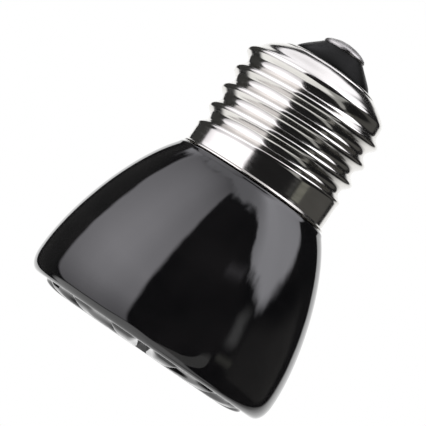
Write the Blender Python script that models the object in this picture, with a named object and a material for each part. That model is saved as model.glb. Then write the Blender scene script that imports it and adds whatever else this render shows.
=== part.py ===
# Ceramic heat emitter: a glazed ceramic bell on a rolled E27 screw cap.
# Metres, +Z up. It stands on the relief of its face, on the Z axis, with the cap on top.

import math

import bmesh
import bpy
from mathutils import Matrix, Vector

# Fit between neighbouring pieces
CLEARANCE = 0.0003

# Ceramic body
BODY_HEIGHT = 0.0316  # resting plane to the land that the cap stands on
BODY_RADIUS = 0.02255
WIDEST_HEIGHT = 0.0047
RIM_REACH = 0.00225  # from the widest radius in to where the rim meets the flat of the face
RIM_SQUARENESS = 2.4  # 2 is an ellipse, more is squarer
SHOULDER_ROUND = 0.0005
SHOULDER_SLOPE = 0.8  # radius gained for each unit of height just under the shoulder
FLANK_FULLNESS = 0.3
NECK_HEIGHT = 0.0095
NECK_CHAMFER = 0.0006
NECK_PLAY = 0.0012  # between the neck and the roots of the thread around it

# Relief on the face
RELIEF = 0.0010
BOSS_RADIUS = 0.0040
BOSS_EDGE = 0.0008
PETALS = 14
PETAL_GAP = 0.0006
PETAL_RUN = 0.0016  # rise of each petal at its inner end
PETAL_SLOPE = 0.0042  # rounded fall of each petal at its outer end
PETAL_FLATNESS = 0.75  # over 0.5 the petals have flat tops
FACE_BORDER = 0.0015

# Screw shell, rolled from sheet
SHEET = 0.0003
CREST_RADIUS = 0.0132
PITCH = 0.003629
CREST_ROUND = 0.0004
ROOT_ROUND = 0.0010
FLANK_ANGLE = 41  # degrees from the axis
THREAD_HEIGHT = 0.01495
RUNOUT = 0.0008  # height over which the thread rises out of the collar
COLLAR_STEP = 0.0002  # from the crest in to the collar
COLLAR_HEIGHT = 0.00205
LIP_FLARE = 0.0004
LIP_EDGE = 0.0003  # straight edge at the foot of the flare
LIP_HEIGHT = 0.0006
DOME_HEIGHT = 0.0045
DOME_SLOPE = 0.4  # fall for each unit of radius at the mouth
DOME_FULLNESS = 0.65
DOME_FADE = 0.0024  # rise of the thread while it fades out on the dome
MOUTH_RADIUS = 0.0075

# Glass, contact, cement and wires
GLASS_RISE = 0.0034
GLASS_DEPTH = 0.0036
GLASS_MARGIN = 0.00013  # round the foot of the contact
GLASS_PULL = 0.25  # share of the visible cone over which each end keeps its own direction
CONTACT_RADIUS = 0.0038
CONTACT_EDGE = 0.00045
CONTACT_DOME = 0.00105
WIRE_RADIUS = 0.0004
WIRE_SPACING = 0.0080

# Facets
SHELL_SIDES = 36
SAMPLES_PER_TURN = 10
SIDES_PER_PETAL = 6
SMALL_SIDES = 32

# Heights above the seat of the cap
THREAD_BASE = LIP_EDGE + LIP_HEIGHT + COLLAR_HEIGHT
DOME_BASE = THREAD_BASE + THREAD_HEIGHT
MOUTH_HEIGHT = DOME_BASE + DOME_HEIGHT
GLASS_TOP = MOUTH_HEIGHT + GLASS_RISE

# Radii that follow from the thread and from the fit of the cap
FLANK_LEAN = math.radians(FLANK_ANGLE)
FLANK_WIDTH = PITCH / 2 - (CREST_ROUND + ROOT_ROUND) * math.sin(FLANK_LEAN)
ROUNDS_DEPTH = (CREST_ROUND + ROOT_ROUND) * (1 - math.cos(FLANK_LEAN))
THREAD_DEPTH = ROUNDS_DEPTH + FLANK_WIDTH * math.tan(FLANK_LEAN)
ROOT_RADIUS = CREST_RADIUS - THREAD_DEPTH
COLLAR_RADIUS = CREST_RADIUS - COLLAR_STEP
LAND_RADIUS = COLLAR_RADIUS + LIP_FLARE
NECK_RADIUS = ROOT_RADIUS - SHEET - NECK_PLAY
GLASS_TOP_RADIUS = CONTACT_RADIUS + GLASS_MARGIN


def smooth(value):
    """Goes from 0 to 1 with no corner at either end."""
    value = min(1.0, max(0.0, value))
    return value * value * (3 - 2 * value)


def bezier(start, first, second, end, steps):
    """Points of a cubic curve in the (radius, height) plane."""
    points = []
    for step in range(steps + 1):
        t = step / steps
        weights = ((1 - t) ** 3, 3 * t * (1 - t) ** 2, 3 * t * t * (1 - t), t**3)
        corners = (start, first, second, end)
        points.append(tuple(sum(w * c[axis] for w, c in zip(weights, corners)) for axis in (0, 1)))
    return points


def inset(profile, distance):
    """The same open profile, moved to its left by the distance."""
    moved = []
    for index, (radius, height) in enumerate(profile):
        before = Vector(profile[max(index - 1, 0)])
        after = Vector(profile[min(index + 1, len(profile) - 1)])
        along = (after - before).normalized()
        moved.append((radius - along.y * distance, height + along.x * distance))
    return moved


def clear_scene():
    for obj in list(bpy.data.objects):
        bpy.data.objects.remove(obj, do_unlink=True)


def principled(name, colour, roughness, metallic):
    material = bpy.data.materials.new(name)
    material.use_nodes = True
    shader = material.node_tree.nodes["Principled BSDF"]
    shader.inputs["Base Color"].default_value = (*colour, 1.0)
    shader.inputs["Roughness"].default_value = roughness
    shader.inputs["Metallic"].default_value = metallic
    return material


def add_object(name, bm, material, parent=None, sharp=40):
    """Makes a smooth-shaded object whose edges stay sharp past the given angle."""
    mesh = bpy.data.meshes.new(name)
    bm.to_mesh(mesh)
    bm.free()
    mesh.shade_smooth()
    mesh.set_sharp_from_angle(angle=math.radians(sharp))
    mesh.materials.append(material)
    obj = bpy.data.objects.new(name, mesh)
    obj.parent = parent
    bpy.context.scene.collection.objects.link(obj)
    return obj


def skin(rings, closed=False):
    """Joins rings of points in order. A ring of one point is a pole, and closed joins the last to the first."""
    bm = bmesh.new()
    loops = [[bm.verts.new(point) for point in ring] for ring in rings]
    pairs = list(zip(loops, loops[1:]))
    if closed:
        pairs.append((loops[-1], loops[0]))
    for low, high in pairs:
        sides = max(len(low), len(high))
        for side in range(sides):
            corners = [
                low[side % len(low)],
                low[(side + 1) % sides % len(low)],
                high[(side + 1) % sides % len(high)],
                high[side % len(high)],
            ]
            bm.faces.new(list(dict.fromkeys(corners)))
    return bm


def ring(radius, height, sides):
    if radius == 0:
        return [Vector((0, 0, height))]
    turn = [math.tau * (side + 0.5) / sides for side in range(sides)]
    return [Vector((radius * math.cos(a), radius * math.sin(a), height)) for a in turn]


def revolve(profile, sides, closed=False):
    return skin([ring(radius, height, sides) for radius, height in profile], closed)


def sweep(path, radius, sides):
    """A round wire along a bent path in the XZ plane."""
    rings = [[path[0]]]
    for index, point in enumerate(path):
        along = path[min(index + 1, len(path) - 1)] - path[max(index - 1, 0)]
        across = Vector((0, 1, 0))
        other = along.normalized().cross(across)
        rings.append([])
        for side in range(sides):
            angle = math.tau * side / sides
            rings[-1].append(point - radius * (math.cos(angle) * across + math.sin(angle) * other))
    rings.append([path[-1]])
    return skin(rings)


# Ceramic body
def flank_profile():
    """The bell, from its widest radius up to the shoulder."""
    low = (BODY_RADIUS, WIDEST_HEIGHT)
    high = (LAND_RADIUS + SHOULDER_ROUND, BODY_HEIGHT - SHOULDER_ROUND)
    reach = FLANK_FULLNESS * (high[1] - low[1])
    slope = Vector((SHOULDER_SLOPE, -1)).normalized() * reach
    return bezier(low, (low[0], low[1] + reach), (high[0] + slope.x, high[1] + slope.y), high, 9)


def rim_profile():
    """The rounded corner, from the flat of the face out to just under the widest radius."""
    points = []
    for step in range(5):
        drop = math.cos(math.radians(90 * step / 5))
        reach = (1 - drop**RIM_SQUARENESS) ** (1 / RIM_SQUARENESS)
        height = WIDEST_HEIGHT - (WIDEST_HEIGHT - RELIEF) * drop
        points.append((BODY_RADIUS - RIM_REACH * (1 - reach), height))
    return points


def neck_profile():
    """The land under the cap, and the neck inside it."""
    top = BODY_HEIGHT + NECK_HEIGHT
    half = math.sqrt(0.5) * SHOULDER_ROUND
    return [
        (LAND_RADIUS + half, BODY_HEIGHT - SHOULDER_ROUND + half),
        (LAND_RADIUS, BODY_HEIGHT),
        (NECK_RADIUS, BODY_HEIGHT),
        (NECK_RADIUS, top - NECK_CHAMFER),
        (NECK_RADIUS - NECK_CHAMFER, top),
        (0, top),
    ]


def face_depth(radius, angle):
    """How far the face stands back from the resting plane. The boss and the petals reach the plane."""
    inner = BOSS_RADIUS + BOSS_EDGE + PETAL_GAP
    outer = BODY_RADIUS - RIM_REACH - FACE_BORDER
    boss = smooth((BOSS_RADIUS + BOSS_EDGE - radius) / BOSS_EDGE)
    fall = min(1.0, max(0.0, (outer - radius) / PETAL_SLOPE))
    ends = smooth((radius - inner) / PETAL_RUN) * math.sqrt(fall * (2 - fall))
    across = min(1.0, max(0.0, 0.5 + PETAL_FLATNESS * math.cos(PETALS * angle)))
    return RELIEF * (1 - max(boss, ends * across))


def face_radii():
    inner = BOSS_RADIUS + BOSS_EDGE + PETAL_GAP
    outer = BODY_RADIUS - RIM_REACH - FACE_BORDER
    radii = [BOSS_RADIUS, BOSS_RADIUS + BOSS_EDGE, inner, inner + PETAL_RUN / 2, inner + PETAL_RUN]
    for step in range(5):
        radii.append(outer - PETAL_SLOPE * (1 - math.sin(math.radians(90 * step / 4))))
    return radii


def face_rings(sides):
    rings = [[Vector((0, 0, 0))]]
    for radius in face_radii():
        points = ring(radius, 0, sides)
        for point in points:
            point.z = face_depth(radius, math.atan2(point.y, point.x))
        rings.append(points)
    return rings


def make_body(material):
    sides = PETALS * SIDES_PER_PETAL
    rings = face_rings(sides)
    for radius, height in rim_profile() + flank_profile() + neck_profile():
        rings.append(ring(radius, height, sides))
    return add_object("ceramic_body", skin(rings), material)


# Screw shell
def dome_profile():
    """The top of the shell, from the root of the thread up to the mouth."""
    low = (ROOT_RADIUS, DOME_BASE)
    high = (MOUTH_RADIUS, MOUTH_HEIGHT)
    corner = (ROOT_RADIUS, MOUTH_HEIGHT - DOME_SLOPE * (ROOT_RADIUS - MOUTH_RADIUS))
    first = tuple(a + DOME_FULLNESS * (c - a) for a, c in zip(low, corner))
    second = tuple(b + DOME_FULLNESS * (c - b) for b, c in zip(high, corner))
    return bezier(low, first, second, high, 6)


def plain_profile():
    """The shell as it would be with no thread: lip, collar, barrel and dome."""
    rows = [(COLLAR_RADIUS + LIP_FLARE, 0)]
    for step in range(5):
        rise = step / 4
        rows.append((COLLAR_RADIUS + LIP_FLARE * (1 - smooth(rise)), LIP_EDGE + LIP_HEIGHT * rise))
    count = round(THREAD_HEIGHT * SAMPLES_PER_TURN / PITCH)
    for step in range(count):
        radius = COLLAR_RADIUS if step < count / 2 else ROOT_RADIUS
        rows.append((radius, THREAD_BASE + THREAD_HEIGHT * step / count))
    return rows + dome_profile()


def thread_rise(from_crest):
    """Height of the rolled ridge over the root, at a distance along the axis from the crest."""
    if from_crest < CREST_ROUND * math.sin(FLANK_LEAN):
        return THREAD_DEPTH - CREST_ROUND + math.sqrt(CREST_ROUND**2 - from_crest**2)
    from_root = PITCH / 2 - from_crest
    along_flank = from_root - ROOT_ROUND * math.sin(FLANK_LEAN)
    if along_flank < 0:
        return ROOT_ROUND - math.sqrt(ROOT_ROUND**2 - from_root**2)
    return ROOT_ROUND * (1 - math.cos(FLANK_LEAN)) + along_flank * math.tan(FLANK_LEAN)


def shell_radius(plain, height, angle):
    """A right-hand thread that rises out of the collar and fades out round the dome."""
    first_crest = THREAD_BASE + (PITCH + RUNOUT) / 2
    turns = (height - first_crest) / PITCH - angle / math.tau
    crest = first_crest + PITCH * (round(turns) + angle / math.tau)
    left = smooth((DOME_BASE + DOME_FADE - crest) / DOME_FADE)
    ridge = thread_rise(abs(height - crest)) * left
    start = THREAD_BASE + RUNOUT / 2 + PITCH / 4 * (1 + math.cos(angle))
    begun = smooth(0.5 + (height - start) / RUNOUT)
    return plain + (min(plain, ROOT_RADIUS) + ridge - plain) * begun


def shell_ring(plain, height):
    points = []
    for side in range(SHELL_SIDES):
        angle = math.tau * side / SHELL_SIDES
        radius = shell_radius(plain, height, angle)
        points.append(Vector((radius * math.cos(angle), radius * math.sin(angle), height)))
    return points


def make_shell(material, cap):
    rings = [shell_ring(radius, height) for radius, height in plain_profile()]
    shell = add_object("screw_shell", skin(rings), material, cap, sharp=75)
    sheet = shell.modifiers.new("sheet", "SOLIDIFY")
    sheet.thickness = SHEET
    sheet.offset = -1
    sheet.use_even_offset = True
    return shell


# Insulator and contact
def make_insulator(material, cap):
    mouth = inset(dome_profile(), SHEET)[-1]
    throat = mouth[0] - CLEARANCE
    floor = MOUTH_HEIGHT - GLASS_DEPTH
    hole = WIRE_RADIUS + CLEARANCE
    under = [point for point in inset(dome_profile(), SHEET + CLEARANCE) if point[1] > floor]
    foot = (throat, MOUTH_HEIGHT + GLASS_PULL * GLASS_RISE)
    tip = (GLASS_TOP_RADIUS + GLASS_PULL * (throat - GLASS_TOP_RADIUS), GLASS_TOP - GLASS_PULL * GLASS_RISE)
    cone = bezier((throat, MOUTH_HEIGHT), foot, tip, (GLASS_TOP_RADIUS, GLASS_TOP), 6)
    outside = [(under[0][0], floor)] + under + [(throat, under[-1][1])] + cone
    profile = [(hole, floor)] + outside + [(hole, GLASS_TOP)]
    return add_object("cap_insulator", revolve(profile, SMALL_SIDES, closed=True), material, cap)


def make_contact(material, cap):
    """A disc with a low edge and a domed top, from one sphere."""
    base = GLASS_TOP + CLEARANCE
    ball = (CONTACT_RADIUS**2 + CONTACT_DOME**2) / (2 * CONTACT_DOME)
    profile = [(0, base), (CONTACT_RADIUS, base)]
    widest = math.asin(CONTACT_RADIUS / ball)
    for step in range(5):
        angle = widest * (1 - step / 5)
        drop = ball * (math.cos(angle) - math.cos(widest))
        profile.append((ball * math.sin(angle), base + CONTACT_EDGE + drop))
    profile.append((0, base + CONTACT_EDGE + CONTACT_DOME))
    return add_object("centre_contact", revolve(profile, SMALL_SIDES), material, cap, sharp=30)


# Pieces inside the cap
def make_cement(material, cap):
    """Fills the collar round the neck, up to the foot of the thread."""
    inner = NECK_RADIUS + CLEARANCE
    outer = COLLAR_RADIUS - SHEET - CLEARANCE
    profile = [(inner, 0), (outer, 0), (outer, THREAD_BASE), (inner, THREAD_BASE)]
    return add_object("cap_cement", revolve(profile, SMALL_SIDES, closed=True), material, cap)


def make_contact_lead(material, cap):
    """Leaves the neck off centre, bends to the axis and ends under the contact."""
    foot = NECK_HEIGHT
    top = GLASS_TOP
    side = WIRE_SPACING / 2
    rise = MOUTH_HEIGHT - GLASS_DEPTH - foot
    path = [Vector((side, 0, foot))]
    path.append(Vector((side, 0, foot + 0.2 * rise)))
    path.append(Vector((0.8 * side, 0, foot + 0.4 * rise)))
    path.append(Vector((0.2 * side, 0, foot + 0.7 * rise)))
    path.append(Vector((0, 0, foot + 0.9 * rise)))
    path.append(Vector((0, 0, top)))
    return add_object("contact_lead", sweep(path, WIRE_RADIUS, 8), material, cap)


def make_shell_lead(material, cap):
    """Leaves the neck off centre and runs up beside the inner wall of the shell."""
    foot = NECK_HEIGHT
    near = -WIRE_SPACING / 2
    far = -(ROOT_RADIUS - SHEET - 2 * CLEARANCE - WIRE_RADIUS)
    rise = MOUTH_HEIGHT - GLASS_DEPTH - foot
    path = [Vector((near, 0, foot))]
    path.append(Vector((near, 0, foot + 0.1 * rise)))
    path.append(Vector((near + 0.2 * (far - near), 0, foot + 0.3 * rise)))
    path.append(Vector((near + 0.8 * (far - near), 0, foot + 0.5 * rise)))
    path.append(Vector((far, 0, foot + 0.7 * rise)))
    path.append(Vector((far, 0, foot + 0.85 * rise)))
    return add_object("shell_lead", sweep(path, WIRE_RADIUS, 8), material, cap)


def main():
    clear_scene()
    make_body(principled("black_glaze", (0.006, 0.006, 0.007), 0.06, 0.0))
    cap = bpy.data.objects.new("cap", None)
    cap.matrix_world = Matrix.Translation((0, 0, BODY_HEIGHT + CLEARANCE))
    bpy.context.scene.collection.objects.link(cap)
    make_shell(principled("nickel_plate", (0.66, 0.64, 0.60), 0.14, 1.0), cap)
    make_insulator(principled("black_glass", (0.005, 0.005, 0.005), 0.12, 0.0), cap)
    make_contact(principled("tinned_brass", (0.55, 0.54, 0.52), 0.38, 1.0), cap)
    make_cement(principled("cement", (0.55, 0.51, 0.44), 0.9, 0.0), cap)
    wire = principled("lead_wire", (0.60, 0.57, 0.53), 0.35, 1.0)
    make_contact_lead(wire, cap)
    make_shell_lead(wire.copy(), cap)


main()
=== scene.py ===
import math

import bmesh
import bpy
from mathutils import Matrix, Vector, noise


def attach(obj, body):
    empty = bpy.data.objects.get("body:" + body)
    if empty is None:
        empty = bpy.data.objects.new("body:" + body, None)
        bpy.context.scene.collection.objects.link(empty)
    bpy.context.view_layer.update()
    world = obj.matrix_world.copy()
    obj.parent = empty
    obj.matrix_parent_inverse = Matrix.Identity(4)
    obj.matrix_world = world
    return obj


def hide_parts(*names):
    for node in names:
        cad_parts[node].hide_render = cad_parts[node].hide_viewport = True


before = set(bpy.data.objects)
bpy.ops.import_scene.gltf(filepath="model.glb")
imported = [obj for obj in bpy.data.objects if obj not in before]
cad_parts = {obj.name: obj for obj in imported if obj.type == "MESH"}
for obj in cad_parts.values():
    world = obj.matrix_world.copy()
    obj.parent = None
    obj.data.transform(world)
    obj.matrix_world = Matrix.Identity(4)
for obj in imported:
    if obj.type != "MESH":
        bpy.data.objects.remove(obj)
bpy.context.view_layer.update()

# Sizes of the emitter in metres and slopes, as in the solids
CLEARANCE = 0.0003
BODY_HEIGHT = 0.0316
BODY_RADIUS = 0.02255
WIDEST_HEIGHT = 0.0047
RIM_REACH = 0.00225  # from the widest radius in to where the rim meets the flat of the face
RIM_SQUARENESS = 2.4  # 2 is an ellipse, more is squarer
SHOULDER_ROUND = 0.0005
SHOULDER_SLOPE = 0.8  # radius gained for each unit of height just under the shoulder
SHOULDER_START = 38  # degrees of its rounding that the flank has already turned
FLANK_FULLNESS = 0.3
NECK_HEIGHT = 0.0095
NECK_PLAY = 0.0012  # between the neck and the roots of the thread around it

RELIEF = 0.0010
BOSS_RADIUS = 0.0040
BOSS_EDGE = 0.0008
PETALS = 14
PETAL_GAP = 0.0006
PETAL_RUN = 0.0016  # rise of each petal at its inner end
PETAL_SLOPE = 0.0042  # rounded fall of each petal at its outer end
PETAL_FLATNESS = 0.75  # over 0.5 the petals have flat tops
FACE_BORDER = 0.0015

SHEET = 0.0003
CREST_RADIUS = 0.0132
PITCH = 0.003629
THREAD_HEIGHT = 0.01495
RUNOUT = 0.0008  # height over which the thread rises out of the collar
COLLAR_STEP = 0.0002  # from the crest in to the collar
LIP_FLARE = 0.0004
DOME_HEIGHT = 0.0045
DOME_SLOPE = 0.4  # fall for each unit of radius at the mouth
DOME_FULLNESS = 0.65
DOME_FADE = 0.0024  # rise of the thread while it fades out on the dome
MOUTH_RADIUS = 0.0075

GLASS_DEPTH = 0.0036
GLASS_RISE = 0.0034
GLASS_PULL = 0.25  # share of the visible cone over which each end keeps its own direction
GLASS_MARGIN = 0.00013  # round the foot of the contact
CONTACT_RADIUS = 0.0038
CONTACT_EDGE = 0.00045
CONTACT_DOME = 0.00105
WIRE_RADIUS = 0.0004

# Fine edges: the scene's own, or within a few tenths of a millimetre of those of the solids
CREST_ROUND = 0.0006
ROOT_ROUND = 0.00112
FLANK_LEAN = math.radians(46)
LIP_EDGE = 0.0001  # straight edge at the foot of the flare
LIP_HEIGHT = 0.00036
BEAD_WIDTH = 0.0010  # from the mouth out to its foot on the dome
BEAD_CREST = 0.00035  # from the mouth out to its highest line
BEAD_DROP = 0.00003  # from the height of the mouth down to that line
BEAD_OVERHANG = SHEET / 4
BEAD_THICKNESS = 0.6 * SHEET
BEAD_FOOT_PULL = 0.3
BEAD_TOP_PULL = 0.4
CONTACT_ROUND = 0.0008
CONTACT_BEVEL = 0.0002  # under its edge, where it closes the gap down to the glass
SOLDER_SWELL = 0.00004
SOLDER_CELLS = 900  # a metre

# The seat of the cap, heights above it, and radii that follow from the thread
SEAT = BODY_HEIGHT + CLEARANCE
THREAD_BASE = 0.00295
DOME_BASE = THREAD_BASE + THREAD_HEIGHT
MOUTH_HEIGHT = DOME_BASE + DOME_HEIGHT
GLASS_TOP = MOUTH_HEIGHT + GLASS_RISE
CONTACT_BASE = GLASS_TOP + CLEARANCE
FLANK_WIDTH = PITCH / 2 - (CREST_ROUND + ROOT_ROUND) * math.sin(FLANK_LEAN)
ROUNDS_DEPTH = (CREST_ROUND + ROOT_ROUND) * (1 - math.cos(FLANK_LEAN))
THREAD_DEPTH = ROUNDS_DEPTH + FLANK_WIDTH * math.tan(FLANK_LEAN)
ROOT_RADIUS = CREST_RADIUS - THREAD_DEPTH
COLLAR_RADIUS = CREST_RADIUS - COLLAR_STEP
LAND_RADIUS = COLLAR_RADIUS + LIP_FLARE
NECK_RADIUS = ROOT_RADIUS - SHEET - NECK_PLAY
GLASS_TOP_RADIUS = CONTACT_RADIUS + GLASS_MARGIN
PETALS_INNER = BOSS_RADIUS + BOSS_EDGE + PETAL_GAP
PETALS_OUTER = BODY_RADIUS - RIM_REACH - FACE_BORDER
BEAD_FOOT = MOUTH_RADIUS + BEAD_WIDTH

# Fineness of the meshes, in sides around and rows along a profile
FACE_CENTRE = 0.0005  # radius of its first ring
SIDES_PER_PETAL = 24
RIM_ROWS = 20
FLANK_ROWS = 44
SHOULDER_ROWS = 6
SHELL_SIDES = 180
LIP_ROWS = 12
COLLAR_ROWS = 4
THREAD_ROWS = 164
DOME_ROWS = 44
BEAD_ROWS = 9
CAP_SIDES = 128
GLASS_FOOT_ROWS = 24
GLASS_CONE_ROWS = 40
CONTACT_EDGE_ROWS = 12
CONTACT_DOME_ROWS = 40
FIRST_SOLDER_RING = 8  # the rings of the contact before it stay even
SHARP_FROM = math.radians(40)


# Geometry helpers
def smooth(value):
    value = min(1.0, max(0.0, value))
    return value * value * (3 - 2 * value)


def bezier(start, first, second, end, steps):
    points = []
    for step in range(steps + 1):
        t = step / steps
        weights = ((1 - t) ** 3, 3 * t * (1 - t) ** 2, 3 * t * t * (1 - t), t**3)
        corners = (start, first, second, end)
        points.append(tuple(sum(w * c[axis] for w, c in zip(weights, corners)) for axis in (0, 1)))
    return points


def inset(profile, distance):
    """The same open profile, moved to its left by the distance."""
    moved = []
    for index, (radius, height) in enumerate(profile):
        before = Vector(profile[max(index - 1, 0)])
        after = Vector(profile[min(index + 1, len(profile) - 1)])
        along = (after - before).normalized()
        moved.append((radius - along.y * distance, height + along.x * distance))
    return moved


def spread(low, high, steps):
    """Evenly spaced values from low to high, without high itself."""
    return [low + (high - low) * step / steps for step in range(steps)]


def ring(radius, height, sides):
    if radius == 0:
        return [Vector((0, 0, height))]
    turn = [math.tau * (side + 0.5) / sides for side in range(sides)]
    return [Vector((radius * math.cos(a), radius * math.sin(a), height)) for a in turn]


def skin(name, rings, closed=False):
    """Joins rings of points into a smooth piece on the root body. A ring may be a single point."""
    bm = bmesh.new()
    loops = [[bm.verts.new(point) for point in ring_points] for ring_points in rings]
    pairs = list(zip(loops, loops[1:]))
    if closed:
        pairs.append((loops[-1], loops[0]))
    for low, high in pairs:
        sides = max(len(low), len(high))
        for side in range(sides):
            corners = [
                low[side % len(low)],
                low[(side + 1) % sides % len(low)],
                high[(side + 1) % sides % len(high)],
                high[side % len(high)],
            ]
            bm.faces.new(list(dict.fromkeys(corners)))
    mesh = bpy.data.meshes.new(name)
    bm.to_mesh(mesh)
    bm.free()
    mesh.shade_smooth()
    mesh.set_sharp_from_angle(angle=SHARP_FROM)
    piece = bpy.data.objects.new(name, mesh)
    bpy.context.scene.collection.objects.link(piece)
    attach(piece, "root")
    return piece


# The ceramic
def rim_points(steps):
    points = []
    for step in range(steps):
        drop = math.cos(math.radians(90 * step / steps))
        reach = (1 - drop**RIM_SQUARENESS) ** (1 / RIM_SQUARENESS)
        height = WIDEST_HEIGHT - (WIDEST_HEIGHT - RELIEF) * drop
        points.append((BODY_RADIUS - RIM_REACH * (1 - reach), height))
    return points


def flank_points(steps):
    low = (BODY_RADIUS, WIDEST_HEIGHT)
    high = (LAND_RADIUS + SHOULDER_ROUND, BODY_HEIGHT - SHOULDER_ROUND)
    reach = FLANK_FULLNESS * (high[1] - low[1])
    slope = Vector((SHOULDER_SLOPE, -1)).normalized() * reach
    return bezier(low, (low[0], low[1] + reach), (high[0] + slope.x, high[1] + slope.y), high, steps)


def shoulder_points(steps):
    start = math.radians(SHOULDER_START)
    points = []
    for step in range(1, steps + 1):
        angle = math.radians(SHOULDER_START + (90 - SHOULDER_START) * step / steps)
        reach = SHOULDER_ROUND * math.cos(angle) / math.cos(start)
        rise = SHOULDER_ROUND * (math.sin(angle) - math.sin(start)) / (1 - math.sin(start))
        points.append((LAND_RADIUS + reach, BODY_HEIGHT - SHOULDER_ROUND + rise))
    return points


def face_depth(radius, angle):
    """How far the face lies back from its highest points, which are the boss and the petals."""
    boss = smooth((BOSS_RADIUS + BOSS_EDGE - radius) / BOSS_EDGE)
    slope = min(1.0, max(0.0, (PETALS_OUTER - radius) / PETAL_SLOPE))
    ends = smooth((radius - PETALS_INNER) / PETAL_RUN) * math.sqrt(slope * (2 - slope))
    across = smooth(0.5 + PETAL_FLATNESS * math.cos(PETALS * angle))
    return RELIEF * (1 - max(boss, ends * across))


def make_ceramic():
    sides = PETALS * SIDES_PER_PETAL
    stations = (
        (FACE_CENTRE, 3),
        (BOSS_RADIUS, 6),
        (BOSS_RADIUS + BOSS_EDGE, 2),
        (PETALS_INNER, 8),
        (PETALS_INNER + PETAL_RUN, 10),
        (PETALS_OUTER - PETAL_SLOPE, 20),
        (PETALS_OUTER, 3),
        (BODY_RADIUS - RIM_REACH, 0),
    )
    rings = [[Vector((0, 0, 0))]]
    for (start, rows), (end, _) in zip(stations, stations[1:]):
        for radius in spread(start, end, rows):
            points = ring(radius, 0, sides)
            for point in points:
                point.z = face_depth(radius, math.atan2(point.y, point.x))
            rings.append(points)
    for radius, height in rim_points(RIM_ROWS) + flank_points(FLANK_ROWS) + shoulder_points(SHOULDER_ROWS):
        rings.append(ring(radius, height, sides))
    top = BODY_HEIGHT + NECK_HEIGHT
    for radius, height in ((NECK_RADIUS, BODY_HEIGHT), (NECK_RADIUS, top), (0, top)):
        rings.append(ring(radius, height, sides))
    piece = skin("glazed_ceramic_bell", rings)
    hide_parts("ceramic_body")
    return piece


# The screw shell
def thread_rise(from_crest):
    """Height of the rolled ridge over the root, at a distance along the axis from the crest."""
    if from_crest < CREST_ROUND * math.sin(FLANK_LEAN):
        return THREAD_DEPTH - CREST_ROUND + math.sqrt(CREST_ROUND**2 - from_crest**2)
    from_root = PITCH / 2 - from_crest
    along_flank = from_root - ROOT_ROUND * math.sin(FLANK_LEAN)
    if along_flank < 0:
        return ROOT_ROUND - math.sqrt(ROOT_ROUND**2 - from_root**2)
    return ROOT_ROUND * (1 - math.cos(FLANK_LEAN)) + along_flank * math.tan(FLANK_LEAN)


def shell_radius(plain, height, angle):
    """A right-hand thread that rises out of the collar and fades out round the dome."""
    first_crest = THREAD_BASE + (PITCH + RUNOUT) / 2
    turns = (height - first_crest) / PITCH - angle / math.tau
    crest = first_crest + PITCH * (round(turns) + angle / math.tau)
    left = smooth((DOME_BASE + DOME_FADE - crest) / DOME_FADE)
    ridge = thread_rise(abs(height - crest)) * left
    start = THREAD_BASE + RUNOUT / 2 + PITCH / 4 * (1 + math.cos(angle))
    begun = smooth(0.5 + (height - start) / RUNOUT)
    return plain + (min(plain, ROOT_RADIUS) + ridge - plain) * begun


def dome_points(steps):
    low = (ROOT_RADIUS, DOME_BASE)
    high = (MOUTH_RADIUS, MOUTH_HEIGHT)
    corner = (ROOT_RADIUS, MOUTH_HEIGHT - DOME_SLOPE * (ROOT_RADIUS - MOUTH_RADIUS))
    first = tuple(a + DOME_FULLNESS * (c - a) for a, c in zip(low, corner))
    second = tuple(b + DOME_FULLNESS * (c - b) for b, c in zip(high, corner))
    return bezier(low, first, second, high, steps)


def bead_points(foot, steps):
    """The edge of the mouth, rolled over into a low bead, from its foot on the dome inwards."""
    top = (MOUTH_RADIUS + BEAD_CREST, MOUTH_HEIGHT - BEAD_DROP)
    rise = top[1] - foot[1]
    pull = BEAD_TOP_PULL * BEAD_CREST
    outer = bezier(foot, (foot[0], foot[1] + BEAD_FOOT_PULL * rise), (top[0] + pull, top[1]), top, steps)
    edge = (MOUTH_RADIUS - BEAD_OVERHANG, MOUTH_HEIGHT - BEAD_THICKNESS)
    inner = bezier(top, (edge[0] + pull, top[1]), (edge[0], top[1] - BEAD_DROP), edge, steps)
    return outer[1:] + inner[1:]


def make_shell():
    """One closed sheet: lip, collar, thread, dome and bead outside, and the same form inside."""
    plain = [(LAND_RADIUS, 0)]
    for step in range(LIP_ROWS + 1):
        rise = step / LIP_ROWS
        plain.append((COLLAR_RADIUS + LIP_FLARE * (1 - smooth(rise)), LIP_EDGE + LIP_HEIGHT * rise))
    collar = spread(LIP_EDGE + LIP_HEIGHT, THREAD_BASE, COLLAR_ROWS)[1:]
    plain += [(COLLAR_RADIUS, height) for height in collar]
    for step in range(THREAD_ROWS):
        radius = COLLAR_RADIUS if step < THREAD_ROWS / 2 else ROOT_RADIUS
        plain.append((radius, THREAD_BASE + THREAD_HEIGHT * step / THREAD_ROWS))
    plain += dome_points(DOME_ROWS)
    bead = bead_points([point for point in plain if point[0] > BEAD_FOOT][-1], BEAD_ROWS)
    columns = []
    for side in range(SHELL_SIDES):
        angle = math.tau * side / SHELL_SIDES
        outside = [(shell_radius(radius, height, angle), height) for radius, height in plain]
        kept = [point for point in outside if point[0] > BEAD_FOOT]
        section = kept + bead + inset(outside, SHEET)[::-1]
        columns.append([Vector((r * math.cos(angle), r * math.sin(angle), SEAT + h)) for r, h in section])
    piece = skin("rolled_screw_shell", list(zip(*columns)), closed=True)
    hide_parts("screw_shell")
    return piece


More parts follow.
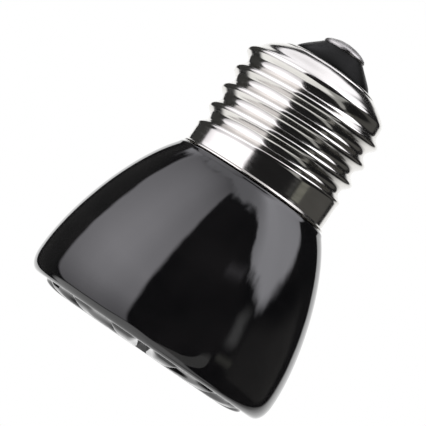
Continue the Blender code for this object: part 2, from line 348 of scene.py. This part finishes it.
# The insulator and the contact
def make_insulator():
    dome = dome_points(GLASS_FOOT_ROWS)
    throat = inset(dome, SHEET)[-1][0] - CLEARANCE
    floor = MOUTH_HEIGHT - GLASS_DEPTH
    hole = WIRE_RADIUS + CLEARANCE
    under = [point for point in inset(dome, SHEET + CLEARANCE) if point[1] > floor]
    foot = (throat, MOUTH_HEIGHT + GLASS_PULL * GLASS_RISE)
    tip = (GLASS_TOP_RADIUS + GLASS_PULL * (throat - GLASS_TOP_RADIUS), GLASS_TOP - GLASS_PULL * GLASS_RISE)
    cone = bezier((throat, MOUTH_HEIGHT), foot, tip, (GLASS_TOP_RADIUS, GLASS_TOP), GLASS_CONE_ROWS)
    outside = [(under[0][0], floor)] + under + [(throat, under[-1][1])] + cone
    profile = [(hole, floor)] + outside + [(hole, GLASS_TOP)]
    rings = [ring(radius, SEAT + height, CAP_SIDES) for radius, height in profile]
    piece = skin("glass_insulator", rings, closed=True)
    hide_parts("cap_insulator")
    return piece


def make_contact():
    """A tinned disc with a rounded edge and an uneven soldered dome."""
    ball = (CONTACT_RADIUS**2 + CONTACT_DOME**2) / (2 * CONTACT_DOME)
    middle = CONTACT_BASE + CONTACT_EDGE + CONTACT_DOME - ball
    start = math.asin((CONTACT_RADIUS - CONTACT_ROUND) / ball)
    dome = []
    for step in range(CONTACT_DOME_ROWS):
        angle = start * (1 - step / CONTACT_DOME_ROWS)
        dome.append((ball * math.sin(angle), middle + ball * math.cos(angle)))
    pull = Vector((math.cos(start), -math.sin(start))) * CONTACT_ROUND / 2
    corner = (dome[0][0] + pull.x, dome[0][1] + pull.y)
    edge = (CONTACT_RADIUS, CONTACT_BASE)
    above = (CONTACT_RADIUS, CONTACT_BASE + CONTACT_EDGE)
    rounded = bezier(edge, above, corner, dome[0], CONTACT_EDGE_ROWS)
    profile = [(0, GLASS_TOP), (CONTACT_RADIUS - CONTACT_BEVEL, GLASS_TOP)] + rounded + dome[1:]
    profile.append((0, middle + ball))
    rings = [ring(radius, SEAT + height, CAP_SIDES) for radius, height in profile]
    for points in rings[FIRST_SOLDER_RING:]:
        for point in points:
            point.z -= SOLDER_SWELL * (1 + noise.noise(point * SOLDER_CELLS))
    piece = skin("tinned_centre_contact", rings)
    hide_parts("centre_contact")
    return piece


# Materials
def new_material(name, colour, roughness, metallic):
    material = bpy.data.materials.new(name)
    material.use_nodes = True
    shader = material.node_tree.nodes["Principled BSDF"]
    shader.inputs["Base Color"].default_value = (*colour, 1.0)
    shader.inputs["Roughness"].default_value = roughness
    shader.inputs["Metallic"].default_value = metallic
    return material, shader


def add_node(material, kind, **values):
    node = material.node_tree.nodes.new(kind)
    for key, value in values.items():
        if key in node.inputs:
            node.inputs[key].default_value = value
        else:
            setattr(node, key, value)
    return node


def noise_node(material, scale, detail=3.0, stretch=(1, 1, 1)):
    """Noise in object space, in cells per metre."""
    links = material.node_tree.links
    place = add_node(material, "ShaderNodeTexCoord")
    mapping = add_node(material, "ShaderNodeMapping")
    mapping.inputs["Scale"].default_value = stretch
    texture = add_node(material, "ShaderNodeTexNoise", Scale=scale, Detail=detail)
    links.new(place.outputs["Object"], mapping.inputs["Vector"])
    links.new(mapping.outputs["Vector"], texture.inputs["Vector"])
    return texture


def ramp_into(material, texture, socket, low, high):
    """Tones along a noise, into a shader socket. Each end is (place on the noise, tone)."""
    ramp = add_node(material, "ShaderNodeValToRGB")
    for stop, end in zip(ramp.color_ramp.elements, (low, high)):
        stop.position, stop.color = end
    material.node_tree.links.new(texture.outputs["Fac"], ramp.inputs["Fac"])
    material.node_tree.links.new(ramp.outputs["Color"], socket)


def bump_into(material, shader, *textures):
    """A chain of bumps. Each entry is (texture, strength, height in metres)."""
    links = material.node_tree.links
    last = None
    for texture, strength, height in textures:
        bump = add_node(material, "ShaderNodeBump", Strength=strength, Distance=height)
        links.new(texture.outputs["Fac"], bump.inputs["Height"])
        if last:
            links.new(last.outputs["Normal"], bump.inputs["Normal"])
        last = bump
    links.new(last.outputs["Normal"], shader.inputs["Normal"])


def grey(value):
    return (value, value, value, 1.0)


def tone(red, green, blue):
    return (red, green, blue, 1.0)


def glaze():
    material, shader = new_material("black_glaze_fired", (0.006, 0.006, 0.006), roughness=0.05, metallic=0.0)
    shader.inputs["IOR"].default_value = 1.65
    colour, roughness = shader.inputs["Base Color"], shader.inputs["Roughness"]
    broad = noise_node(material, scale=90, detail=2.0)
    ramp_into(material, broad, colour, (0.35, tone(0.003, 0.003, 0.0035)), (0.70, tone(0.008, 0.0075, 0.008)))
    fine = noise_node(material, scale=900)
    ramp_into(material, fine, roughness, (0.35, grey(0.035)), (0.75, grey(0.075)))
    ripple = noise_node(material, scale=420, detail=2.0)
    bump_into(material, shader, (broad, 0.80, 0.00012), (ripple, 0.20, 0.00003))
    return material


def nickel():
    material, shader = new_material("nickel_plate_rolled", (0.72, 0.70, 0.66), roughness=0.12, metallic=1.0)
    colour, roughness = shader.inputs["Base Color"], shader.inputs["Roughness"]
    broad = noise_node(material, scale=160, stretch=(1, 1, 2.5))
    ramp_into(material, broad, colour, (0.30, tone(0.60, 0.585, 0.555)), (0.70, tone(0.68, 0.665, 0.635)))
    lines = noise_node(material, scale=260, detail=4.0, stretch=(1, 1, 30))
    ramp_into(material, lines, roughness, (0.30, grey(0.09)), (0.75, grey(0.20)))
    bump_into(material, shader, (lines, 0.10, 0.00001), (broad, 0.12, 0.00003))
    return material


def black_glass():
    material, shader = new_material("black_cap_glass", (0.006, 0.006, 0.006), roughness=0.32, metallic=0.0)
    shader.inputs["Specular IOR Level"].default_value = 0.05
    broad = noise_node(material, scale=500)
    ramp_into(material, broad, shader.inputs["Roughness"], (0.35, grey(0.30)), (0.75, grey(0.46)))
    bump_into(material, shader, (broad, 0.20, 0.00006))
    return material


def tin():
    material, shader = new_material("tinned_contact_metal", (0.56, 0.55, 0.53), roughness=0.35, metallic=1.0)
    colour, roughness = shader.inputs["Base Color"], shader.inputs["Roughness"]
    broad = noise_node(material, scale=700, detail=4.0)
    ramp_into(material, broad, colour, (0.30, tone(0.36, 0.35, 0.34)), (0.75, tone(0.50, 0.49, 0.48)))
    fine = noise_node(material, scale=1600)
    ramp_into(material, fine, roughness, (0.30, grey(0.32)), (0.75, grey(0.46)))
    bump_into(material, shader, (broad, 0.20, 0.00005))
    return material


def cement():
    material, shader = new_material("cap_cement_dry", (0.55, 0.51, 0.44), roughness=0.9, metallic=0.0)
    colour = shader.inputs["Base Color"]
    grain = noise_node(material, scale=2200, detail=5.0)
    ramp_into(material, grain, colour, (0.30, tone(0.44, 0.40, 0.34)), (0.75, tone(0.62, 0.58, 0.50)))
    bump_into(material, shader, (grain, 0.6, 0.0001))
    return material


def wire():
    material, shader = new_material("drawn_lead_wire", (0.60, 0.57, 0.53), roughness=0.35, metallic=1.0)
    drawn = noise_node(material, scale=900, stretch=(1, 1, 0.1))
    ramp_into(material, drawn, shader.inputs["Roughness"], (0.30, grey(0.25)), (0.75, grey(0.45)))
    bump_into(material, shader, (drawn, 0.2, 0.00002))
    return material


def dress(piece, material):
    piece.data.materials.clear()
    piece.data.materials.append(material)


# Studio
# Directions are in degrees. Azimuth 0 points to the camera of the photograph and 90 to its right.
# Edges and other curves are pairs of a direction and the value there, with straight lines between.
# Where nothing else stands, a reflection shows the dark front of the room.
AZIMUTHS = (-180, 180)
ELEVATIONS = (-90, 90)
GLOWS = (0, 4)  # times a colour
SHARES = (0, 1)
DARK = (0.014, 0.014, 0.0145)

SOFTBOX = (1.00, 0.98, 1.04)
SOFTBOX_SOFTNESS = 2.5
SOFTBOX_LEFT = ((-90, -100), (-31, -103), (0, -109), (25, -112), (34, -116), (44, -122), (90, -122))
SOFTBOX_RIGHT = -27
SOFTBOX_TOP = (
    (-180, 40), (-122, 44), (-110, 51), (-86, 58), (-62, 66), (-50, 69), (-20, 66), (180, 66),
)
SOFTBOX_FOOT = (
    (-180, -24), (-110, -28), (-98, -33), (-86, -39), (-70, -44), (-55, -46), (-20, -42), (180, -42),
)
SOFTBOX_RISE = (
    (-90, 1.1), (-35, 1.2), (-12, 1.5), (0, 1.8), (6, 2.3), (18, 2.75), (30, 2.55), (48, 1.95), (68, 0.9),
    (90, 0.9),
)
SOFTBOX_SWEEP = (
    (-180, 0.4), (-112, 0.5), (-98, 0.67), (-86, 0.82), (-74, 0.95), (-58, 1.0), (-38, 0.87), (180, 0.8),
)

CEILING = (1.00, 0.99, 1.05)
CEILING_SOFTNESS = 4.0
CEILING_EDGE = (
    (-180, 53), (-165, 52), (-158, 42), (-150, 37), (-134, 35), (-122, 40), (-116, 48), (-100, 54),
    (-80, 60), (-50, 66), (-20, 65), (10, 65), (24, 63), (33, 61), (38, 56), (42, 48), (46, 40), (50, 37),
    (60, 34), (66, 30), (71, 26.5), (78, 27.5), (84, 30.5), (90, 31), (106, 37), (114, 41), (121, 52),
    (132, 53), (140, 47), (151, 48), (162, 56), (180, 56),
)
CEILING_SWEEP = (
    (-180, 1.6), (-150, 1.4), (-120, 1.2), (-60, 1.2), (-20, 1.3), (10, 1.35), (34, 1.7), (46, 2.2),
    (58, 2.9), (70, 2.8), (82, 2.5), (94, 2.3), (106, 2.0), (118, 1.6), (180, 1.6),
)
CEILING_RAGGED = ((-180, 1.0), (56, 1.0), (72, 0.3), (180, 0.3))
RAGGED_CELLS = 9.0
RAGGED_DETAIL = 4.0
RAGGED_REACH = 14.0  # from its lowest to its highest

FLOOR = (1.00, 1.00, 1.00)
FLOOR_SOFTNESS = 4.0
FLOOR_EDGE = (
    (-180, 33), (-161, 31), (-157, 0), (-154, -33), (-146, -38), (-135, -34), (-119, -31), (-103, -35),
    (-87, -43), (-71, -48), (-55, -50), (-31, -46), (-15, -48), (0, -53), (20, -52), (54, -57), (65, -61),
    (89, -61), (105, -54), (125, -50), (129, -20), (137, -6), (143, 2), (147, 8), (151, 26), (180, 28),
)
FLOOR_SWEEP = (
    (-180, 1.1), (-120, 1.3), (-40, 1.35), (0, 1.1), (60, 1.05), (110, 0.8), (128, 0.3), (136, 0.45),
    (142, 0.8), (152, 1.1), (180, 1.1),
)

CARD = (0.42, 0.42, 0.41)
CARD_SOFTNESS = 3.0
CARD_EDGE = (
    (-180, -90), (0, -64), (9, -48), (17, -42), (25, -35), (33, -28), (38, -14), (43, 0), (49, 2), (52.5, 1),
    (54, -70), (180, -90),
)

# Dim patches: centre, half size, rounding of the corners, softness and colour
WINDOWS = (
    ((100, 6), (31, 14), 10, 5, (0.088, 0.086, 0.082)),
    ((-130, 2), (19, 30), 8, 5, (0.048, 0.048, 0.046)),
    ((63, 4.4), (7, 2), 2, 2.5, (0.30, 0.30, 0.26)),
    ((61, 18), (4.5, 6.5), 3, 4, (0.50, 0.50, 0.50)),
    ((35, 35.5), (10, 2.5), 2.5, 2.5, (0.26, 0.25, 0.27)),
)
WINDOW_RAGGED = 0.5

# Light and floor, in metres
FILL = 0.5
LAMP_SPREAD = 4  # a square lamp spreads its watts over this many times its own area
LAMP_TARGET = Vector((0, 0, 0.03))
STAGE_RADIUS = 6.0
STAGE_SIDES = 96
STAGE_DROP = 0.0002  # from the face down to the floor
STAGE_GLOW = 0.25

# Camera: places in metres, lens and sensor in millimetres
CAMERA_DISTANCE = 0.480
CAMERA_HEIGHT = -0.002
CAMERA_AIM = Vector((-0.00279, 0, 0.0247))
CAMERA_LEAN = math.radians(34.5)
CLIP_START = 0.01
CLIP_END = 50.0
SENSOR = 36.0
LENS = 253.0


class Maths:
    """Small node builder for the reflections that the world shows."""

    def __init__(self, tree):
        self.nodes = tree.nodes
        self.links = tree.links

    def feed(self, socket, value):
        if isinstance(value, bpy.types.NodeSocket):
            self.links.new(value, socket)
        else:
            socket.default_value = value

    def calc(self, operation, *values):
        node = self.nodes.new("ShaderNodeMath")
        node.operation = operation
        for socket, value in zip(node.inputs, values):
            self.feed(socket, value)
        return node.outputs["Value"]

    def step(self, value, softness):
        """0 below -softness and 1 above it, with a soft edge between."""
        node = self.nodes.new("ShaderNodeMapRange")
        node.interpolation_type = "SMOOTHSTEP"
        self.feed(node.inputs["Value"], value)
        node.inputs["From Min"].default_value = -softness
        node.inputs["From Max"].default_value = softness
        return node.outputs["Result"]

    def curve(self, value, span, points, reach):
        """A value in its reach that changes with another one in its span, along straight lines."""
        low, high = span
        least, most = reach
        ramp = self.nodes.new("ShaderNodeValToRGB")
        stops = ramp.color_ramp.elements
        while len(stops) < len(points):
            stops.new(0.5)
        for stop, (place, result) in zip(stops, points):
            stop.position = (place - low) / (high - low)
            stop.color = grey((result - least) / (most - least))
        along = self.calc("DIVIDE", self.calc("SUBTRACT", value, float(low)), float(high - low))
        self.feed(ramp.inputs["Fac"], along)
        return self.calc("MULTIPLY_ADD", ramp.outputs["Color"], float(most - least), float(least))

    def edge(self, azimuth, points):
        """An elevation that changes with the azimuth."""
        return self.curve(azimuth, AZIMUTHS, points, ELEVATIONS)

    def shaded(self, colour, *factors):
        """A colour times one or more factors."""
        factor = factors[0]
        for other in factors[1:]:
            factor = self.calc("MULTIPLY", factor, other)
        node = self.nodes.new("ShaderNodeVectorMath")
        node.operation = "SCALE"
        node.inputs[0].default_value = colour
        self.feed(node.inputs["Scale"], factor)
        return node.outputs["Vector"]

    def window(self, azimuth, elevation, centre, half, rounding, softness):
        """A rounded rectangle in azimuth and elevation, 1 inside and 0 outside."""
        reach = []
        for value, middle, size in zip((azimuth, elevation), centre, half):
            away = self.calc("ABSOLUTE", self.calc("SUBTRACT", value, middle))
            past = self.calc("MAXIMUM", self.calc("SUBTRACT", away, size - rounding), 0.0)
            reach.append(self.calc("POWER", past, 2.0))
        away = self.calc("SQRT", self.calc("ADD", *reach))
        return self.step(self.calc("SUBTRACT", float(rounding), away), softness)

    def mix(self, mask, under, over):
        node = self.nodes.new("ShaderNodeMix")
        node.data_type = "RGBA"
        self.feed(node.inputs[0], mask)
        for socket, value in ((node.inputs[6], under), (node.inputs[7], over)):
            self.feed(socket, (*value, 1.0) if isinstance(value, tuple) else value)
        return node.outputs[2]


def studio_colour(tree):
    """What a reflection sees: a dark front, dim patches, a grey card, a ceiling, a floor and a softbox."""
    maths = Maths(tree)
    place = tree.nodes.new("ShaderNodeTexCoord")
    axes = tree.nodes.new("ShaderNodeSeparateXYZ")
    tree.links.new(place.outputs["Generated"], axes.inputs["Vector"])
    back = maths.calc("MULTIPLY", axes.outputs["Y"], -1.0)
    azimuth = maths.calc("DEGREES", maths.calc("ARCTAN2", axes.outputs["X"], back))
    elevation = maths.calc("DEGREES", maths.calc("ARCSINE", axes.outputs["Z"]))
    ragged = tree.nodes.new("ShaderNodeTexNoise")
    ragged.inputs["Scale"].default_value = RAGGED_CELLS
    ragged.inputs["Detail"].default_value = RAGGED_DETAIL
    tree.links.new(place.outputs["Generated"], ragged.inputs["Vector"])
    wander = maths.calc("MULTIPLY_ADD", ragged.outputs["Fac"], RAGGED_REACH, -RAGGED_REACH / 2)
    shifted = maths.calc("ADD", azimuth, maths.calc("MULTIPLY", wander, WINDOW_RAGGED))
    colour = DARK
    for centre, half, rounding, softness, glow in WINDOWS:
        window = maths.window(shifted, elevation, centre, half, rounding, softness)
        colour = maths.mix(window, colour, glow)
    card = maths.calc("SUBTRACT", maths.edge(azimuth, CARD_EDGE), elevation)
    colour = maths.mix(maths.step(card, CARD_SOFTNESS), colour, CARD)
    raggedness = maths.calc("MULTIPLY", wander, maths.curve(azimuth, AZIMUTHS, CEILING_RAGGED, SHARES))
    ceiling = maths.calc("SUBTRACT", elevation, maths.edge(azimuth, CEILING_EDGE))
    ceiling = maths.calc("ADD", ceiling, raggedness)
    glow = maths.shaded(CEILING, maths.curve(azimuth, AZIMUTHS, CEILING_SWEEP, GLOWS))
    colour = maths.mix(maths.step(ceiling, CEILING_SOFTNESS), colour, glow)
    floor = maths.calc("SUBTRACT", maths.edge(azimuth, FLOOR_EDGE), elevation)
    glow = maths.shaded(FLOOR, maths.curve(azimuth, AZIMUTHS, FLOOR_SWEEP, GLOWS))
    colour = maths.mix(maths.step(floor, FLOOR_SOFTNESS), colour, glow)
    sides = (
        maths.calc("SUBTRACT", azimuth, maths.curve(elevation, ELEVATIONS, SOFTBOX_LEFT, AZIMUTHS)),
        maths.calc("SUBTRACT", float(SOFTBOX_RIGHT), azimuth),
        maths.calc("SUBTRACT", maths.edge(azimuth, SOFTBOX_TOP), elevation),
        maths.calc("SUBTRACT", elevation, maths.edge(azimuth, SOFTBOX_FOOT)),
    )
    inside = maths.step(sides[0], SOFTBOX_SOFTNESS)
    for side in sides[1:]:
        inside = maths.calc("MULTIPLY", inside, maths.step(side, SOFTBOX_SOFTNESS))
    rise = maths.curve(elevation, ELEVATIONS, SOFTBOX_RISE, GLOWS)
    glow = maths.shaded(SOFTBOX, rise, maths.curve(azimuth, AZIMUTHS, SOFTBOX_SWEEP, GLOWS))
    return maths.mix(inside, colour, glow)


def direction(azimuth, elevation):
    a, e = math.radians(azimuth), math.radians(elevation)
    return Vector((math.sin(a) * math.cos(e), -math.cos(a) * math.cos(e), math.sin(e)))


def lamp(name, azimuth, elevation, distance, size, radiance):
    """A square soft light that shines on the middle of the emitter. The world shows its reflection."""
    data = bpy.data.lights.new(name, "AREA")
    data.shape = "SQUARE"
    data.size = size
    data.energy = radiance * LAMP_SPREAD * size * size
    obj = bpy.data.objects.new(name, data)
    bpy.context.scene.collection.objects.link(obj)
    way = direction(azimuth, elevation)
    obj.location = LAMP_TARGET + way * distance
    obj.rotation_mode = "QUATERNION"
    obj.rotation_quaternion = way.to_track_quat("Z", "Y")
    obj.visible_camera = False
    obj.visible_glossy = False


def make_floor():
    """A pale floor that is open from below, because the photograph looks at the face a little from below."""
    bm = bmesh.new()
    bmesh.ops.create_circle(bm, cap_ends=True, segments=STAGE_SIDES, radius=STAGE_RADIUS)
    mesh = bpy.data.meshes.new("floor")
    bm.to_mesh(mesh)
    bm.free()
    obj = bpy.data.objects.new("floor", mesh)
    obj.location.z = -STAGE_DROP
    bpy.context.scene.collection.objects.link(obj)
    material, shader = new_material("pale_floor", (0.80, 0.80, 0.80), roughness=0.9, metallic=0.0)
    links = material.node_tree.links
    glow = add_node(material, "ShaderNodeEmission", Color=grey(1.0), Strength=STAGE_GLOW)
    lit = add_node(material, "ShaderNodeAddShader")
    links.new(shader.outputs["BSDF"], lit.inputs[0])
    links.new(glow.outputs["Emission"], lit.inputs[1])
    clear = add_node(material, "ShaderNodeBsdfTransparent")
    side = add_node(material, "ShaderNodeNewGeometry")
    both = add_node(material, "ShaderNodeMixShader")
    links.new(side.outputs["Backfacing"], both.inputs["Fac"])
    links.new(lit.outputs["Shader"], both.inputs[1])
    links.new(clear.outputs["BSDF"], both.inputs[2])
    links.new(both.outputs["Shader"], material.node_tree.nodes["Material Output"].inputs["Surface"])
    mesh.materials.append(material)
    obj.visible_glossy = False


def make_world():
    """White to the camera, the studio in reflections, and an even fill for everything else."""
    world = bpy.data.worlds.new("studio")
    bpy.context.scene.world = world
    world.use_nodes = True
    tree = world.node_tree
    maths = Maths(tree)
    fill = tree.nodes["Background"]
    fill.inputs["Color"].default_value = grey(1.0)
    fill.inputs["Strength"].default_value = FILL
    white = tree.nodes.new("ShaderNodeBackground")
    white.inputs["Color"].default_value = grey(1.0)
    mirrored = tree.nodes.new("ShaderNodeBackground")
    tree.links.new(studio_colour(tree), mirrored.inputs["Color"])
    path = tree.nodes.new("ShaderNodeLightPath")
    seen = maths.calc("MAXIMUM", path.outputs["Is Camera Ray"], path.outputs["Is Transmission Ray"])
    shader = fill.outputs["Background"]
    for mask, over in ((path.outputs["Is Glossy Ray"], mirrored), (seen, white)):
        mix = tree.nodes.new("ShaderNodeMixShader")
        tree.links.new(mask, mix.inputs["Fac"])
        tree.links.new(shader, mix.inputs[1])
        tree.links.new(over.outputs["Background"], mix.inputs[2])
        shader = mix.outputs["Shader"]
    tree.links.new(shader, tree.nodes["World Output"].inputs["Surface"])


def make_camera():
    """The photograph looks from a little under the face, and the axis leans to its right."""
    place = Vector((CAMERA_AIM.x, -CAMERA_DISTANCE, CAMERA_HEIGHT))
    ahead = (CAMERA_AIM - place).normalized()
    right = ahead.cross(Vector((0, 0, 1))).normalized()
    up = right.cross(ahead)
    top = up * math.cos(CAMERA_LEAN) - right * math.sin(CAMERA_LEAN)
    side = right * math.cos(CAMERA_LEAN) + up * math.sin(CAMERA_LEAN)
    data = bpy.data.cameras.new("camera")
    data.sensor_width = SENSOR
    data.lens = LENS
    data.clip_start = CLIP_START
    data.clip_end = CLIP_END
    camera = bpy.data.objects.new("camera", data)
    bpy.context.scene.collection.objects.link(camera)
    turn = Matrix((side, top, -ahead)).transposed()
    camera.matrix_world = Matrix.Translation(place) @ turn.to_4x4()
    bpy.context.scene.camera = camera


def main():
    dress(make_ceramic(), glaze())
    dress(make_shell(), nickel())
    dress(make_insulator(), black_glass())
    dress(make_contact(), tin())
    dress(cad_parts["cap_cement"], cement())
    dress(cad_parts["contact_lead"], wire())
    dress(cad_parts["shell_lead"], wire())
    make_floor()
    make_world()
    lamp("key_light", azimuth=-65, elevation=45, distance=0.7, size=0.6, radiance=2.2)
    lamp("fill_light", azimuth=70, elevation=40, distance=0.9, size=0.6, radiance=0.9)
    make_camera()
    bpy.context.scene.view_settings.view_transform = "Standard"


main()
